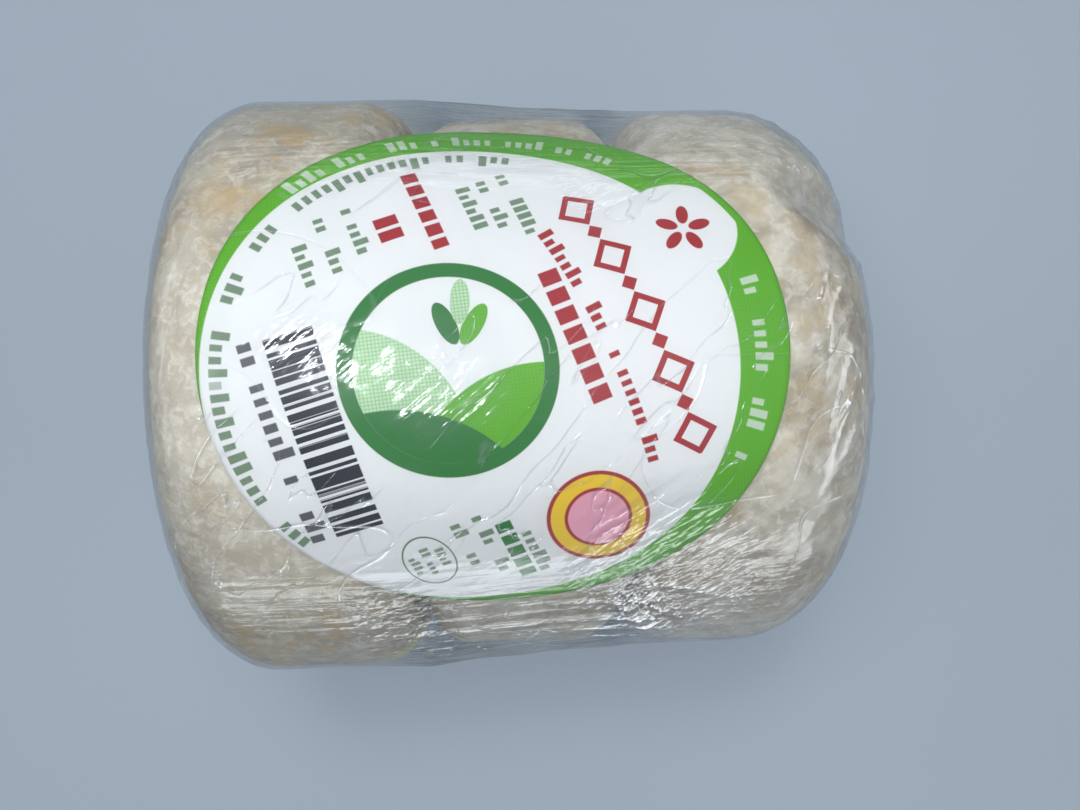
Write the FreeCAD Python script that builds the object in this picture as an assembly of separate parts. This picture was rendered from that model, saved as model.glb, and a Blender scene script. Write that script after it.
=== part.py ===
"""Three small round goat's-milk cheeses, stood on edge in a row and held by one tight clear film.

The row lies on its side: its axis runs along +X and dips a little towards its smaller right end.
+Z is up, and the origin is under the middle of the pack, on the surface that it rests on. Every
length is in millimetres and every angle in degrees. A round paper label lies over the tops of the
cheeses, under the film. The film is pulled from the left cheese to the right one, so it stands
clear of the smaller cheese between them.
"""

import FreeCAD, Part
import os
from dataclasses import dataclass
from math import asin, cos, degrees, pi, radians, sin, sqrt


# ---- Driving dimensions ----

LEFT_RADIUS = 30.1
LEFT_THICKNESS = 20.3
LEFT_OUTER_EDGE = 6.0

MIDDLE_RADIUS = 28.6
MIDDLE_THICKNESS = 20.3
MIDDLE_LEAN = -0.5        # turn of the middle cheese about the upright

RIGHT_RADIUS = 28.7
RIGHT_THICKNESS = 21.3
RIGHT_OUTER_EDGE = 10.5

INNER_EDGE = 5.0          # rounding of the edges that face a neighbour
FACE_SWELL = 0.6          # how far the two end faces of the row swell in their middle
FACE_FLAT = 8.0           # width of the small flat in the middle of that swelling
RIM_SWELL = 0.4           # how far a rim swells between its two edges

DENT_DEPTH = 1.3          # crease pressed across the outer edge of the right cheese
DENT_ANGLE = 55.0         # its place round the rim, up from +Y
DENT_RADIUS = 6.0         # rounding of its bottom, on the film

FILM_WALL = 0.30
FILM_WAIST = 0.35         # how far the film draws in half way between the outer cheeses
LABEL_THICKNESS = 0.25
LABEL_DIAMETER = 48.0
LABEL_ALONG = -2.2        # label centre from the middle of the row, along its axis
LABEL_TURN = 3.7          # label centre round the row's axis, from the top towards +Y
SEAT_GAP = 0.20           # clearance between layers, and under the cheeses
NEIGHBOUR_GAP = 0.35      # clearance between one cheese and the next
REST_FLAT = 16.0          # width of the flat that the pack rests on

PLEAT_COUNT = 9           # gathers of the film at each end, where it is drawn under the pack
PLEAT_FAN = 118.0         # angle that they spread over
PLEAT_FOOT = 4.4          # width of a gather at its foot, under the pack
PLEAT_HEIGHT = 0.45       # how far a gather stands off the end face
PLEAT_REACH = 27.0        # height that the long gathers run up to
PLEAT_SHORT = 7.0         # how much shorter every second one is
PLEAT_AT_EDGE = 0.25      # share of its height that is left half way round the pack's edge

OUTLINE_POINTS = 24       # points that the wrapped label's outline is drawn through

# Each layer stands off the outer cheeses by what lies under it.
LABEL_INSIDE = SEAT_GAP
LABEL_OUTSIDE = LABEL_INSIDE + LABEL_THICKNESS
FILM_INSIDE = LABEL_OUTSIDE + SEAT_GAP
FILM_OUTSIDE = FILM_INSIDE + FILM_WALL

ROW_LENGTH = LEFT_THICKNESS + MIDDLE_THICKNESS + RIGHT_THICKNESS + 2 * NEIGHBOUR_GAP
WIDEST_RADIUS = max(LEFT_RADIUS, MIDDLE_RADIUS, RIGHT_RADIUS)
AMPLE = 2 * (ROW_LENGTH + WIDEST_RADIUS)


@dataclass(frozen=True)
class Cheese:
    """A pressed disc on its rim; its place is measured along the axis of the row."""

    radius: float
    thickness: float
    left_edge: float
    right_edge: float
    left_swell: float
    right_swell: float
    centre: float

    def face(self, side):
        """Place of a face's rim along the axis, on side -1 left or 1 right."""
        return self.centre + side * self.thickness / 2

    @property
    def crown(self):
        """Place of the widest ring, half way between the rim's two rounded edges."""
        return self.centre + (self.left_edge - self.right_edge) / 2


LEFT = Cheese(LEFT_RADIUS, LEFT_THICKNESS, LEFT_OUTER_EDGE, INNER_EDGE, FACE_SWELL, 0.0,
              (LEFT_THICKNESS - ROW_LENGTH) / 2)
MIDDLE = Cheese(MIDDLE_RADIUS, MIDDLE_THICKNESS, INNER_EDGE, INNER_EDGE, 0.0, 0.0,
                LEFT.centre + (LEFT_THICKNESS + MIDDLE_THICKNESS) / 2 + NEIGHBOUR_GAP)
RIGHT = Cheese(RIGHT_RADIUS, RIGHT_THICKNESS, INNER_EDGE, RIGHT_OUTER_EDGE, 0.0, FACE_SWELL,
               (ROW_LENGTH - RIGHT_THICKNESS) / 2)


def resting_height(radius, floor):
    """Height of a rim's centre when the flat at its lowest part lies at the floor."""
    return floor + sqrt(radius ** 2 - (REST_FLAT / 2) ** 2)


def room_at(along):
    """Radius inside the film at a place between the outer cheeses."""
    leaves = LEFT.face(1) - LEFT.right_edge
    arrives = RIGHT.face(-1) + RIGHT.left_edge
    share = (along - leaves) / (arrives - leaves)
    straight = LEFT.radius + (RIGHT.radius - LEFT.radius) * share - RIM_SWELL + FILM_INSIDE
    return straight - FILM_WAIST * 4 * share * (1 - share)


LEFT_HEIGHT = resting_height(LEFT.radius + FILM_OUTSIDE, 0.0)
RIGHT_HEIGHT = resting_height(RIGHT.radius + FILM_OUTSIDE, 0.0)
MIDDLE_DROP = min(room_at(MIDDLE.face(-1)), room_at(MIDDLE.face(1))) - SEAT_GAP - MIDDLE.radius
ROW_DIP = degrees(asin((LEFT_HEIGHT - RIGHT_HEIGHT) / (RIGHT.crown - LEFT.crown)))


def point(along, radius):
    """A point of a profile, in the half plane above the row's axis."""
    return FreeCAD.Vector(along, 0.0, radius)


def arc(start, middle, end):
    """Arc through three points, or a straight edge where they are in line."""
    bend = (middle - start).cross(end - middle).Length
    if bend < 1e-6:
        return Part.LineSegment(start, end).toShape()
    return Part.Arc(start, middle, end).toShape()


def swell_at(radius, rim_radius, height):
    """Height at a radius of a dome that would be that high in its middle and nothing at its rim."""
    if height == 0.0:
        return 0.0
    dome_radius = (rim_radius ** 2 + height ** 2) / (2 * height)
    return sqrt(dome_radius ** 2 - radius ** 2) - (dome_radius - height)


def end_profile(cheese, side, offset, lift=0.0):
    """Edges of one end, from the axis over the face and round the edge to the rim, where lift fades."""
    rounding = cheese.left_edge if side < 0 else cheese.right_edge
    swell = cheese.left_swell if side < 0 else cheese.right_swell
    face = cheese.face(side) + side * (offset + lift)
    face_radius = cheese.radius - RIM_SWELL - rounding
    turned = rounding + offset

    def on_face(radius):
        return point(face + side * swell_at(radius, face_radius, swell), radius)

    flat_rim = on_face(FACE_FLAT / 2)
    middle = point(flat_rim.x, 0.0)
    half_way = on_face((FACE_FLAT / 2 + face_radius) / 2)
    face_rim = point(face, face_radius)
    knee_reach = turned * cos(pi / 4) + lift * PLEAT_AT_EDGE
    rim_start = cheese.face(side) - side * rounding
    knee = point(rim_start + side * knee_reach, face_radius + knee_reach)
    shoulder = point(rim_start, face_radius + turned)
    return [arc(middle, (middle + flat_rim) * 0.5, flat_rim), arc(flat_rim, half_way, face_rim),
            arc(face_rim, knee, shoulder)]


def rim_profile(cheese, offset):
    """Slightly swollen rim between a cheese's two rounded edges."""
    radius = cheese.radius - RIM_SWELL + offset
    left = point(cheese.face(-1) + cheese.left_edge, radius)
    right = point(cheese.face(1) - cheese.right_edge, radius)
    return arc(left, point(cheese.crown, cheese.radius + offset), right)


def cheese_profile(cheese):
    """Open profile of a cheese, from the axis over one face, the rim and the other face."""
    edges = end_profile(cheese, -1, 0.0) + [rim_profile(cheese, 0.0)] + end_profile(cheese, 1, 0.0)
    return Part.Wire(Part.__sortEdges__(edges))


def row_profile(offset):
    """Profile of a skin that lies on the outer cheeses and is pulled from one rim to the other."""
    left_rim = rim_profile(LEFT, offset)
    right_rim = rim_profile(RIGHT, offset)
    leaves = left_rim.lastVertex().Point
    arrives = right_rim.firstVertex().Point
    waist = (leaves + arrives) * 0.5 - point(0.0, FILM_WAIST)
    edges = end_profile(LEFT, -1, offset) + [left_rim, arc(leaves, waist, arrives), right_rim]
    edges += end_profile(RIGHT, 1, offset)
    return Part.Wire(Part.__sortEdges__(edges))


def turned_body(profile):
    """Solid turned about the X axis from an open profile whose ends lie on that axis."""
    ends = [vertex.Point for vertex in profile.OrderedVertexes]
    axis_edge = Part.LineSegment(ends[-1], ends[0]).toShape()
    closed = Part.Wire(Part.__sortEdges__(profile.Edges + [axis_edge]))
    return Part.Face(closed).revolve(FreeCAD.Vector(), FreeCAD.Vector(1.0, 0.0, 0.0), 360.0)


def dent_tool(offset):
    """Round bar laid across the right cheese's outer edge; its size allows for a skin's offset."""
    knee_radius = RIGHT.radius - RIM_SWELL - RIGHT.right_edge
    centre = FreeCAD.Vector(RIGHT.face(1) - RIGHT.right_edge, 0.0, knee_radius)
    outwards = FreeCAD.Vector(1.0, 0.0, 1.0).normalize()
    along = FreeCAD.Vector(-1.0, 0.0, 1.0).normalize()
    reach = RIGHT.right_edge + FILM_OUTSIDE + DENT_RADIUS - DENT_DEPTH
    length = 2 * WIDEST_RADIUS
    start = centre + outwards * reach - along * (length / 2)
    bar = Part.makeCylinder(DENT_RADIUS + FILM_OUTSIDE - offset, length, start, along)
    bar.rotate(FreeCAD.Vector(), FreeCAD.Vector(1.0, 0.0, 0.0), DENT_ANGLE - 90.0)
    return bar


def in_place(shape):
    """A shape moved from the row's own axis to where the row lies, dipping to its right end."""
    shape.rotate(FreeCAD.Vector(), FreeCAD.Vector(0.0, 1.0, 0.0), ROW_DIP)
    share = -LEFT.crown / (RIGHT.crown - LEFT.crown)
    shape.translate(FreeCAD.Vector(0.0, 0.0, LEFT_HEIGHT + (RIGHT_HEIGHT - LEFT_HEIGHT) * share))
    return shape


def above(shape, height):
    """The part of a shape that lies above a level."""
    corner = FreeCAD.Vector(-AMPLE / 2, -AMPLE / 2, height)
    return shape.common(Part.makeBox(AMPLE, AMPLE, AMPLE, corner))


def pleats(cheese, side):
    """Gathers of the film on one end face: a fan of slim tapers that rise from under the pack."""
    edges = end_profile(cheese, side, FILM_OUTSIDE, PLEAT_HEIGHT)
    shoulder = edges[-1].lastVertex().Point
    edges.append(Part.LineSegment(shoulder, point(shoulder.x, 0.0)).toShape())
    lifted = turned_body(Part.Wire(Part.__sortEdges__(edges)))
    foot = -cheese.radius - FILM_OUTSIDE
    tapers = []
    for index in range(PLEAT_COUNT):
        reach = PLEAT_REACH - PLEAT_SHORT * (index % 2)
        corners = [FreeCAD.Vector(0.0, -PLEAT_FOOT / 2, foot), FreeCAD.Vector(0.0, PLEAT_FOOT / 2, foot),
                   FreeCAD.Vector(0.0, 0.0, foot + reach)]
        taper = Part.Face(Part.makePolygon(corners + corners[:1])).extrude(FreeCAD.Vector(AMPLE * side))
        spread = PLEAT_FAN * (index / (PLEAT_COUNT - 1) - 0.5)
        taper.rotate(FreeCAD.Vector(0.0, 0.0, foot), FreeCAD.Vector(1.0, 0.0, 0.0), spread)
        tapers.append(taper)
    return lifted.common(tapers[0].multiFuse(tapers[1:]))


def pleated_envelope(floor):
    """Outside of the film, with its gathers at both ends."""
    body = turned_body(row_profile(FILM_OUTSIDE))
    body = body.multiFuse([pleats(LEFT, -1), pleats(RIGHT, 1)]).cut(dent_tool(FILM_OUTSIDE))
    return above(in_place(body), floor)


def envelope(offset, floor):
    """Solid under a skin that stands off the outer cheeses, with a flat at the floor."""
    body = turned_body(row_profile(offset)).cut(dent_tool(offset))
    return above(in_place(body), floor)


def cheese_body(cheese):
    """A cheese where it lies, with the dent and a flat where it rests."""
    body = turned_body(cheese_profile(cheese))
    if cheese is RIGHT:
        body = body.cut(dent_tool(0.0))
    if cheese is MIDDLE:
        centre = FreeCAD.Vector(cheese.centre, 0.0, 0.0)
        body.rotate(centre, FreeCAD.Vector(0.0, 0.0, 1.0), MIDDLE_LEAN)
        body.translate(FreeCAD.Vector(0.0, 0.0, -MIDDLE_DROP))
    return above(in_place(body), FILM_WALL + SEAT_GAP)


def label_prism():
    """Upright prism whose walls cut a round label out of a skin that curves over the row."""
    reach = LABEL_DIAMETER / 2
    bend = (LEFT.radius + RIGHT.radius) / 2 + LABEL_OUTSIDE
    points = []
    for step in range(OUTLINE_POINTS):
        angle = 2 * pi * step / OUTLINE_POINTS
        wrap = radians(LABEL_TURN) + reach * sin(angle) / bend
        points.append(FreeCAD.Vector(LABEL_ALONG + reach * cos(angle), bend * sin(wrap), 0.0))
    curve = Part.BSplineCurve()
    curve.interpolate(Points=points, PeriodicFlag=True)
    prism = Part.Face(Part.Wire([curve.toShape()])).extrude(FreeCAD.Vector(0.0, 0.0, AMPLE))
    return in_place(prism)


def build():
    """Every piece of the pack by name, with the origin under the middle of the film."""
    skin = envelope(LABEL_OUTSIDE, FILM_WALL).cut(envelope(LABEL_INSIDE, FILM_WALL))
    pieces = {
        "cheese_left": cheese_body(LEFT),
        "cheese_middle": cheese_body(MIDDLE),
        "cheese_right": cheese_body(RIGHT),
        "label": skin.common(label_prism()),
        "film": pleated_envelope(0.0).cut(envelope(FILM_INSIDE, FILM_WALL)),
    }
    box = pieces["film"].optimalBoundingBox()
    to_origin = FreeCAD.Vector(-box.Center.x, -box.Center.y, -box.ZMin)
    for shape in pieces.values():
        shape.translate(to_origin)
    return pieces


os.makedirs("parts", exist_ok=True)
for name, shape in build().items():
    solid, = shape.Solids
    print(name, "valid" if solid.isValid() else "not valid", round(solid.Volume, 1), solid.optimalBoundingBox())
    solid.exportStep(os.path.join("parts", name + ".step"))
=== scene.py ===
"""Looks of three small goat's-milk cheeses on edge, wrapped in one tight clear film.

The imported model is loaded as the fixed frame. Each rind, the paper label and the film are modelled
here in that frame, in metres, and stand for their plain nodes. The row of cheeses has an axis of its
own, which dips towards +X; shapes are made along that axis and then put in place.
"""

import logging
import math
from dataclasses import dataclass, field
from enum import Enum
from typing import Callable, Optional, Sequence, Union

import bmesh
import bpy
from mathutils import Matrix, Vector, noise


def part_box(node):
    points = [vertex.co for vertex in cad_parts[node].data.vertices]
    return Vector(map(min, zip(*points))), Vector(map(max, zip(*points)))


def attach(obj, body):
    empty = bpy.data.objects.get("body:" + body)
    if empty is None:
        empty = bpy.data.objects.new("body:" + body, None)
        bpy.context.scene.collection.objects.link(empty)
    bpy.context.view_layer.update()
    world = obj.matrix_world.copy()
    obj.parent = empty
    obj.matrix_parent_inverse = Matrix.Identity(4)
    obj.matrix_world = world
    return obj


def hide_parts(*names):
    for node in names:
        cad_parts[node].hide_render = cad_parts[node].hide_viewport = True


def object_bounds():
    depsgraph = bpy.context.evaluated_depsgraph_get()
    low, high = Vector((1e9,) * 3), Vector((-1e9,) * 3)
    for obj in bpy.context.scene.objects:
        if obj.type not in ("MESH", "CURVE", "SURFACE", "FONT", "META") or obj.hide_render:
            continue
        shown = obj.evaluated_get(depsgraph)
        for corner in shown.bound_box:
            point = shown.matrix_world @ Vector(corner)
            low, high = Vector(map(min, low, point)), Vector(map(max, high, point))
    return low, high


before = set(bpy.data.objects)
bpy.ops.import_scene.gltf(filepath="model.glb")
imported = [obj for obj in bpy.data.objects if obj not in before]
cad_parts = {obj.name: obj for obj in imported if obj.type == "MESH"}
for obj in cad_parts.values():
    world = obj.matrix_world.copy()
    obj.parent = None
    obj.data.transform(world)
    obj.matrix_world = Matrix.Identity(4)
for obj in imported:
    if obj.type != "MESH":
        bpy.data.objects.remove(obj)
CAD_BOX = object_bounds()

LOG = logging.getLogger("cheese_pack")
MM = 0.001
MERGE_REACH = 1e-7
FOLD = "fold"
Colour = tuple[float, float, float]
Paint = Union[Colour, bpy.types.NodeSocket]


# ---- shader helpers


def srgb(red: float, green: float, blue: float) -> Colour:
    """Linear colour of a display colour whose channels run from 0 to 1.

    Args:
        red: Display red.
        green: Display green.
        blue: Display blue.

    Returns:
        The three linear channels.
    """
    return tuple(c / 12.92 if c <= 0.04045 else ((c + 0.055) / 1.055) ** 2.4 for c in (red, green, blue))


Operand = Union["Value", float, int]


class Value:
    """A number that varies over a surface; an expression on it adds Math nodes."""

    def __init__(self, graph: "Graph", socket: bpy.types.NodeSocket) -> None:
        """Wraps one output socket of a graph."""
        self.graph = graph
        self.socket = socket

    def math(self, operation: str, *others: Operand, first: Optional[Operand] = None) -> "Value":
        """One Math node on this value.

        Args:
            operation: Name of the Math node's operation.
            others: What goes into the sockets after this value.
            first: A value to put before this one instead, for reflected operators.

        Returns:
            The node's result.
        """
        operands = [self, *others] if first is None else [first, self, *others]
        inputs = {index: operand for index, operand in enumerate(operands)}
        return self.graph.value("ShaderNodeMath", {"operation": operation}, inputs)

    def __add__(self, other: Operand) -> "Value":
        """Sum, with the number on either side."""
        return self.math("ADD", other)

    __radd__ = __add__

    def __sub__(self, other: Operand) -> "Value":
        """Difference."""
        return self.math("SUBTRACT", other)

    def __rsub__(self, other: Operand) -> "Value":
        """Difference with the number first."""
        return self.math("SUBTRACT", first=other)

    def __mul__(self, other: Operand) -> "Value":
        """Product, with the number on either side."""
        return self.math("MULTIPLY", other)

    __rmul__ = __mul__

    def __pow__(self, exponent: float) -> "Value":
        """Power."""
        return self.math("POWER", exponent)

    def __abs__(self) -> "Value":
        """Absolute value."""
        return self.math("ABSOLUTE")

    def most(self, other: Operand) -> "Value":
        """The larger of two values."""
        return self.math("MAXIMUM", other)

    def wrapped(self, period: float) -> "Value":
        """This value counted from the middle of each period, between minus and plus half of it."""
        return self.math("WRAP", period / 2, -period / 2)

    def rise(self, start: float, end: float) -> "Value":
        """A smooth change with this value.

        Args:
            start: Value at which the result is 0.
            end: Value at which the result is 1; it may lie below start.

        Returns:
            A value from 0 to 1.
        """
        inputs = {"Value": self, "From Min": min(start, end), "From Max": max(start, end)}
        if start > end:
            inputs |= {"To Min": 1.0, "To Max": 0.0}
        return self.graph.value("ShaderNodeMapRange", {"interpolation_type": "SMOOTHSTEP"}, inputs)


class Graph:
    """A material and its node tree, with one way to add any node."""

    def __init__(self, name: str) -> None:
        """Makes an empty material.

        Args:
            name: Name of the material.
        """
        self.material = bpy.data.materials.new(name)
        self.material.use_nodes = True
        self.tree = self.material.node_tree
        self.tree.nodes.clear()

    def node(self, kind: str, settings: Optional[dict] = None,
             inputs: Optional[dict] = None) -> bpy.types.Node:
        """Adds a node.

        Args:
            kind: Blender's name of the node type.
            settings: Properties of the node.
            inputs: Values or links, by the socket's name or index.

        Returns:
            The node.
        """
        made = self.tree.nodes.new(kind)
        for name, setting in (settings or {}).items():
            setattr(made, name, setting)
        for key, given in (inputs or {}).items():
            socket = self._socket(made, key)
            source = given.socket if isinstance(given, Value) else given
            if isinstance(source, bpy.types.NodeSocket):
                self.tree.links.new(source, socket)
            elif socket.type == "RGBA" and len(source) == 3:
                socket.default_value = (*source, 1.0)
            else:
                socket.default_value = source
        return made

    @staticmethod
    def _socket(made: bpy.types.Node, key: Union[str, int]) -> bpy.types.NodeSocket:
        """The enabled input socket with a name, or the input at an index."""
        if isinstance(key, int):
            return made.inputs[key]
        return next(s for s in made.inputs if s.name == key and s.enabled)

    def value(self, kind: str, settings: Optional[dict] = None, inputs: Optional[dict] = None,
              output: Union[str, int] = 0) -> Value:
        """Adds a node and wraps one of its outputs, with the arguments of node and the output's name."""
        return Value(self, self.node(kind, settings, inputs).outputs[output])

    def noise(self, scale: float, detail: float = 3.0, roughness: float = 0.55,
              where: Optional[bpy.types.NodeSocket] = None, distortion: float = 0.0) -> Value:
        """Fractal noise from 0 to 1.

        Args:
            scale: Cells to a metre, or to a unit of where.
            detail: Octaves.
            roughness: How strong the fine octaves are.
            where: Coordinates; the piece's own if left out.
            distortion: How far the noise is stirred.

        Returns:
            The noise.
        """
        inputs = {"Vector": where or self.place(), "Scale": scale, "Detail": detail, "Roughness": roughness,
                  "Distortion": distortion}
        return self.value("ShaderNodeTexNoise", None, inputs)

    def place(self, size: Sequence[float] = (1.0, 1.0, 1.0), turn: Sequence[float] = (0.0, 0.0, 0.0),
              shift: Sequence[float] = (0.0, 0.0, 0.0)) -> bpy.types.NodeSocket:
        """Object coordinates on turned axes, so that a pattern grows along them.

        Args:
            size: How much larger the pattern gets along each turned axis.
            turn: Angle of the axes about X, Y and Z in radians.
            shift: Where the pattern's origin goes.

        Returns:
            The coordinates' socket.
        """
        own = self.node("ShaderNodeTexCoord").outputs["Object"]
        inputs = {"Vector": own, "Location": shift, "Rotation": turn, "Scale": size}
        return self.node("ShaderNodeMapping", {"vector_type": "TEXTURE"}, inputs).outputs["Vector"]

    def blend(self, share: Operand, below: Paint, above: Paint) -> bpy.types.NodeSocket:
        """Mixes two colours.

        Args:
            share: How much of the upper colour shows.
            below: Lower colour.
            above: Upper colour.

        Returns:
            The mixed colour's socket.
        """
        made = self.node("ShaderNodeMix", {"data_type": "RGBA"}, {"Factor": share, "A": below, "B": above})
        return next(s for s in made.outputs if s.type == "RGBA" and s.enabled)

    def bump(self, height: Value, depth: float, strength: float = 1.0) -> bpy.types.NodeSocket:
        """Normal of a relief.

        Args:
            height: Relief from 0 to 1.
            depth: Its depth in metres.
            strength: How strongly it shows.

        Returns:
            The normal's socket.
        """
        inputs = {"Height": height, "Distance": depth, "Strength": strength}
        return self.node("ShaderNodeBump", None, inputs).outputs["Normal"]

    def finish(self, shader: bpy.types.Node) -> bpy.types.Material:
        """Joins a shader to the material's output and returns the material."""
        self.node("ShaderNodeOutputMaterial", None, {"Surface": shader.outputs[0]})
        return self.material


class Backdrop(Graph):
    """The node tree of the scene's world."""

    def __init__(self, name: str) -> None:
        """Makes an empty world and gives it to the scene.

        Args:
            name: Name of the world.
        """
        world = bpy.data.worlds.new(name)
        bpy.context.scene.world = world
        world.use_nodes = True
        self.tree = world.node_tree
        self.tree.nodes.clear()


# ---- mesh helpers


def smooth_step(value: float, start: float, end: float) -> float:
    """Smooth change of a plain number.

    Args:
        value: The number.
        start: Where the result is 0.
        end: Where the result is 1; it may lie below start.

    Returns:
        A number from 0 to 1.
    """
    share = min(max((value - start) / (end - start), 0.0), 1.0)
    return share * share * (3.0 - 2.0 * share)


def ridged(where: Vector, octaves: int = 3) -> float:
    """Noise with sharp crests.

    Args:
        where: Place in the noise's own cells.
        octaves: Layers of ever finer noise.

    Returns:
        A number from 0 in the valleys to 1 on a crest.
    """
    total, weight, scale = 0.0, 0.5, 1.0
    for _ in range(octaves):
        total += weight * (1.0 - min(abs(noise.noise(where * scale)) * 2.4, 1.0))
        weight *= 0.5
        scale *= 2.03
    return total / (1.0 - 0.5 ** octaves)


@dataclass(frozen=True)
class Bend:
    """A rounded corner of an outline that is turned about the row's axis."""

    along: float
    radius: float
    rounding: float = 0.0
    pieces: int = 10


def spin_closed(made: bmesh.types.BMesh, axis: Vector, turns: int) -> None:
    """Spins an outline once about an axis through the origin and closes seam and poles.

    Args:
        made: The mesh that holds the outline.
        axis: Direction of the axis.
        turns: Steps round it.
    """
    bmesh.ops.spin(made, geom=made.verts[:] + made.edges[:], cent=(0, 0, 0), axis=axis, dvec=(0, 0, 0),
                   angle=math.tau, steps=turns, use_merge=True, use_duplicate=False)
    bmesh.ops.remove_doubles(made, verts=made.verts[:], dist=MERGE_REACH)
    bmesh.ops.recalc_face_normals(made, faces=made.faces[:])


def turned_mesh(corners: Sequence[Bend], turns: int,
                spacing: Callable[[Vector], float]) -> bmesh.types.BMesh:
    """Turns an outline with rounded corners once about the X axis.

    Args:
        corners: The outline from one end to the other, with its ends on the axis.
        turns: Steps round the axis.
        spacing: Longest edge allowed at a place of the outline.

    Returns:
        A closed mesh whose faces point outwards.
    """
    made = bmesh.new()
    points = [made.verts.new((bend.along, 0.0, bend.radius)) for bend in corners]
    for start, end in zip(points, points[1:]):
        made.edges.new((start, end))
    for point, bend in zip(points, corners):
        if bend.rounding:
            bmesh.ops.bevel(made, geom=[point], affect="VERTICES", offset=bend.rounding,
                            segments=bend.pieces, profile=0.5, material=-1)
    for edge in list(made.edges):
        middle = (edge.verts[0].co + edge.verts[1].co) / 2
        cuts = math.ceil(edge.calc_length() / spacing(middle)) - 1
        if cuts > 0:
            bmesh.ops.subdivide_edges(made, edges=[edge], cuts=cuts)
    spin_closed(made, Vector((1.0, 0.0, 0.0)), turns)
    return made


def to_object(made: bmesh.types.BMesh, name: str, material: bpy.types.Material) -> bpy.types.Object:
    """Makes a smooth-shaded object of a mesh and frees the mesh.

    Args:
        made: The mesh.
        name: Name of the piece.
        material: Its finish.

    Returns:
        The object, at the origin.
    """
    for face in made.faces:
        face.smooth = True
    data = bpy.data.meshes.new(name)
    made.to_mesh(data)
    made.free()
    data.materials.append(material)
    piece = bpy.data.objects.new(name, data)
    bpy.context.scene.collection.objects.link(piece)
    return piece


# ---- the row


class Disc(Enum):
    """The three cheeses and their nodes."""

    LEFT = "cheese_left"
    MIDDLE = "cheese_middle"
    RIGHT = "cheese_right"


@dataclass
class Row:
    """Sizes of the row, and the way from the row's own axis to where it lies."""

    left_edge: float = 6.0 * MM
    inner_edge: float = 5.0 * MM
    right_edge: float = 10.5 * MM
    face_swell: float = 0.6 * MM
    film_offset: float = 0.95 * MM
    rind_growth: float = 0.45 * MM
    rind_fill: float = 0.24 * MM
    label_offset: float = 0.5 * MM
    waist: float = 0.35 * MM
    crown_end: float = 1.05
    dent_angle: float = math.radians(55.0)
    dent_depth: float = 1.8 * MM
    dent_radius: float = 6.0 * MM
    dent_shoulder: float = 2.2 * MM
    left_radius: float = field(init=False)
    right_radius: float = field(init=False)
    left_face: float = field(init=False)
    right_face: float = field(init=False)
    dip: float = field(init=False)
    height: float = field(init=False)
    shift: float = field(init=False)

    def __post_init__(self) -> None:
        """Reads the radii, the end faces and the dip from the frame."""
        left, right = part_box(Disc.LEFT.value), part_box(Disc.RIGHT.value)
        self.left_radius = (left[1].y - left[0].y) / 2
        self.right_radius = (right[1].y - right[0].y) / 2
        left_axis, right_axis = left[1].z - self.left_radius, right[1].z - self.right_radius
        left_middle, right_middle = (left[0].x + left[1].x) / 2, (right[0].x + right[1].x) / 2
        self.dip = math.atan2(left_axis - right_axis, right_middle - left_middle)
        self.shift = (left[0].x + right[1].x) / 2
        share = (self.shift - left_middle) / (right_middle - left_middle)
        self.height = left_axis + (right_axis - left_axis) * share
        self.right_face = (right[1].x - left[0].x) / 2 - self.face_swell
        self.left_face = -self.right_face

    @property
    def to_place(self) -> Matrix:
        """Matrix from the row's own axes to the frame."""
        return Matrix.Translation((self.shift, 0.0, self.height)) @ Matrix.Rotation(self.dip, 4, "Y")

    def crown_radius(self, along: float) -> float:
        """Radius of a sheet that lies on the outer cheeses and is drawn between them.

        Args:
            along: Place along the row's axis.

        Returns:
            The radius there.
        """
        leaves = self.left_face / 3
        arrives = self.right_face / 3 * self.crown_end
        share = min(max((along - leaves) / (arrives - leaves), 0.0), 1.0)
        straight = self.left_radius + (self.right_radius - self.left_radius) * share
        return straight - self.waist * 4 * share * (1 - share)

    def pressed(self, point: Vector, lift: float) -> Vector:
        """A point pushed out of the crease across the right cheese's outer edge.

        Args:
            point: Point in the row's own axes.
            lift: How far its surface stands off the cheese.

        Returns:
            The point, moved onto the crease's round bottom if it lay in the crease.
        """
        knee = Vector((self.right_face - self.right_edge, 0.0, self.right_radius - self.right_edge))
        outwards = Vector((1.0, 0.0, 1.0)).normalized()
        along = Vector((-1.0, 0.0, 1.0)).normalized()
        reach = self.right_edge + self.film_offset + self.dent_radius - self.dent_depth
        turn = Matrix.Rotation(self.dent_angle - math.pi / 2, 3, "X")
        start, along = turn @ (knee + outwards * reach), turn @ along
        away = point - start
        away -= along * away.dot(along)
        depth = self.dent_radius + self.film_offset - lift - away.length
        shoulder = max(self.dent_shoulder - abs(depth), 0.0) ** 2 / (4 * self.dent_shoulder)
        push = max(depth, 0.0) + shoulder
        return point + away.normalized() * push if point.x > 0 else point


# ---- rinds


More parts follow.
